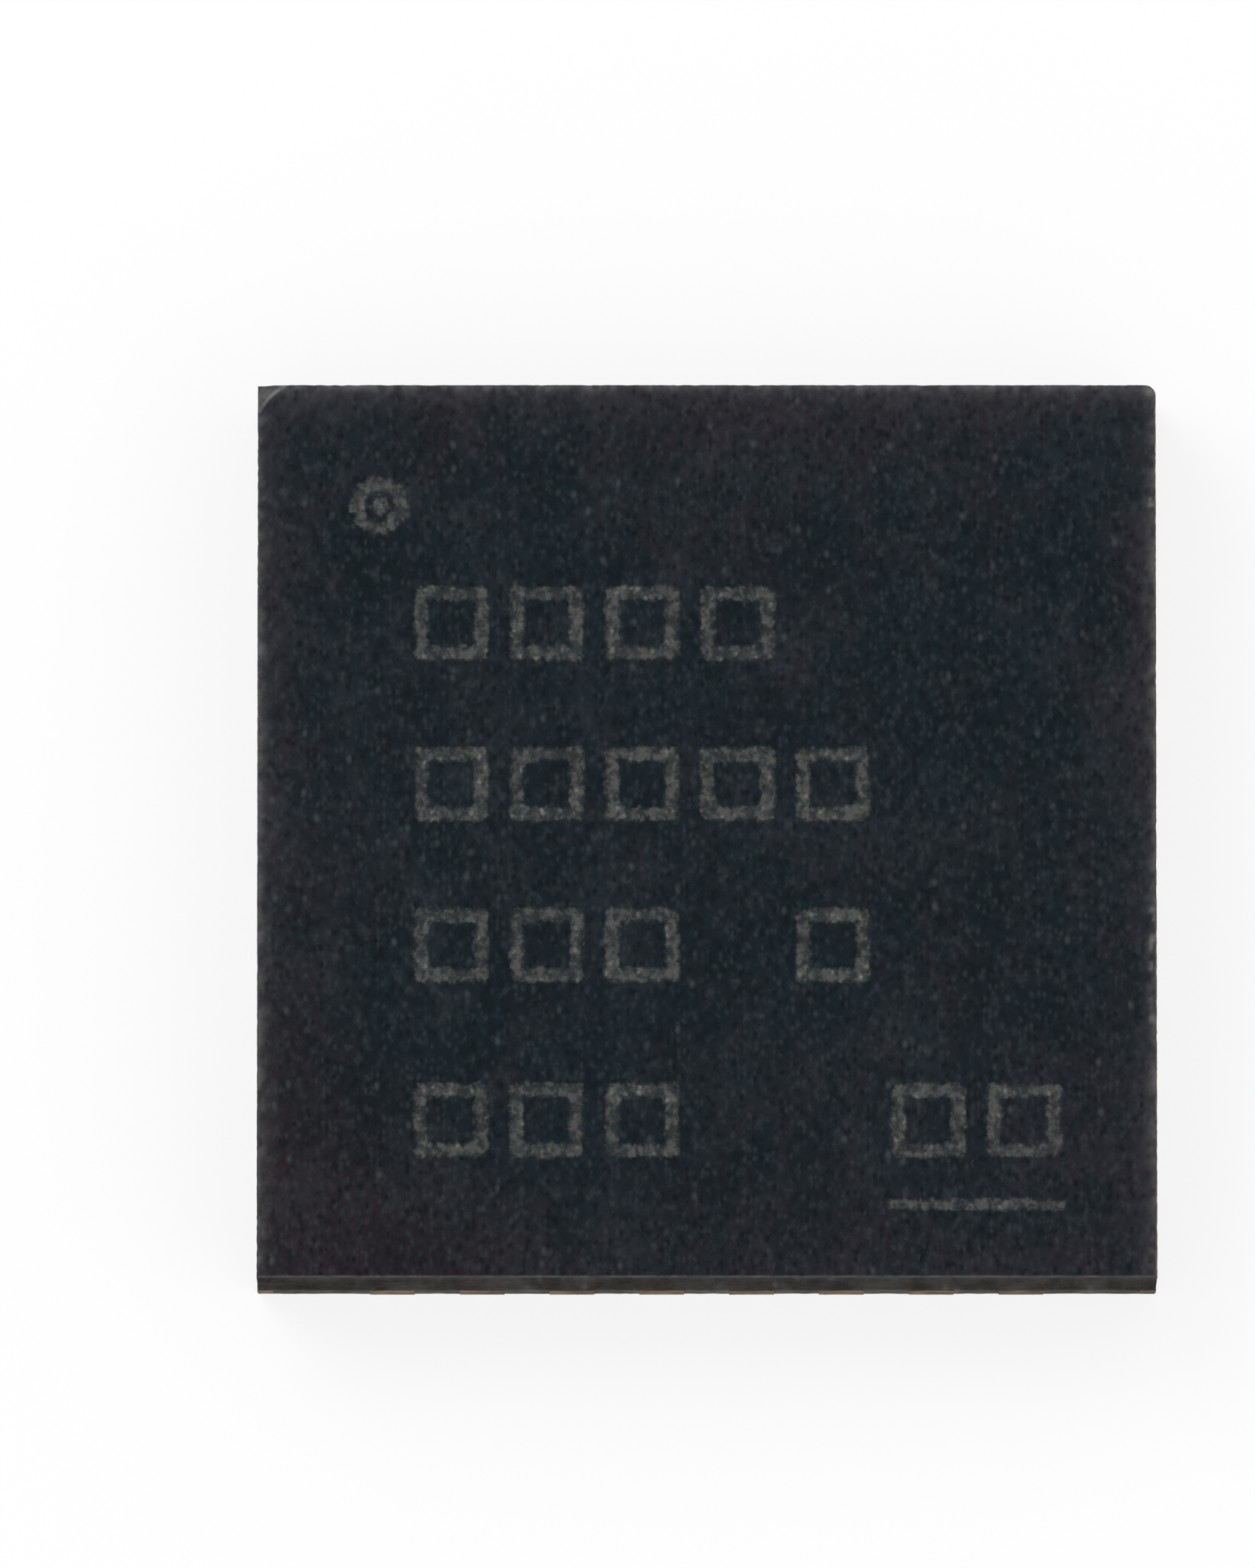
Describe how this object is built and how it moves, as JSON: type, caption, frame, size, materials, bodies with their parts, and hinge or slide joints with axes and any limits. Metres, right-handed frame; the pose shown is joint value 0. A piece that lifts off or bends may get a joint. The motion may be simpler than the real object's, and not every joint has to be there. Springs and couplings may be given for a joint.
{
  "type": "qfn chip",
  "caption": "Flat square leadless chip package: black moulded body on a copper lead frame with tinned lands, die and bond wires inside, for soldering to a board.",
  "frame": {"origin": "centre of the footprint on the seating plane, under the lands", "axes": "+Z out of the marked face, +Y to the side north of the mark, terminal 1 in the -X +Y corner"},
  "size_m": [0.005, 0.005, 0.0009],
  "materials": {
    "moulding_compound": "matte",
    "lead_frame_copper": "satin",
    "tin_plating": "satin",
    "die_adhesive": "matte",
    "silicon": "polished",
    "bond_wire": "polished"
  },
  "bodies": {
    "root": {"mould_body": "moulding_compound", "die_paddle": "lead_frame_copper", "pad_plating": "tin_plating", "die_attach": "die_adhesive", "die": "silicon", "lead_01": "lead_frame_copper", "lead_02": "lead_frame_copper", "lead_03": "lead_frame_copper", "lead_04": "lead_frame_copper", "lead_05": "lead_frame_copper", "lead_06": "lead_frame_copper", "lead_07": "lead_frame_copper", "lead_08": "lead_frame_copper", "lead_09": "lead_frame_copper", "lead_10": "lead_frame_copper", "lead_11": "lead_frame_copper", "lead_12": "lead_frame_copper", "lead_13": "lead_frame_copper", "lead_14": "lead_frame_copper", "lead_15": "lead_frame_copper", "lead_16": "lead_frame_copper", "lead_17": "lead_frame_copper", "lead_18": "lead_frame_copper", "lead_19": "lead_frame_copper", "lead_20": "lead_frame_copper", "lead_21": "lead_frame_copper", "lead_22": "lead_frame_copper", "lead_23": "lead_frame_copper", "lead_24": "lead_frame_copper", "lead_25": "lead_frame_copper", "lead_26": "lead_frame_copper", "lead_27": "lead_frame_copper", "lead_28": "lead_frame_copper", "lead_29": "lead_frame_copper", "lead_30": "lead_frame_copper", "lead_31": "lead_frame_copper", "lead_32": "lead_frame_copper", "land_plating_west": "tin_plating", "land_plating_south": "tin_plating", "land_plating_east": "tin_plating", "land_plating_north": "tin_plating", "bond_wires_west": "bond_wire", "bond_wires_south": "bond_wire", "bond_wires_east": "bond_wire", "bond_wires_north": "bond_wire"}
  },
  "joints": []
}
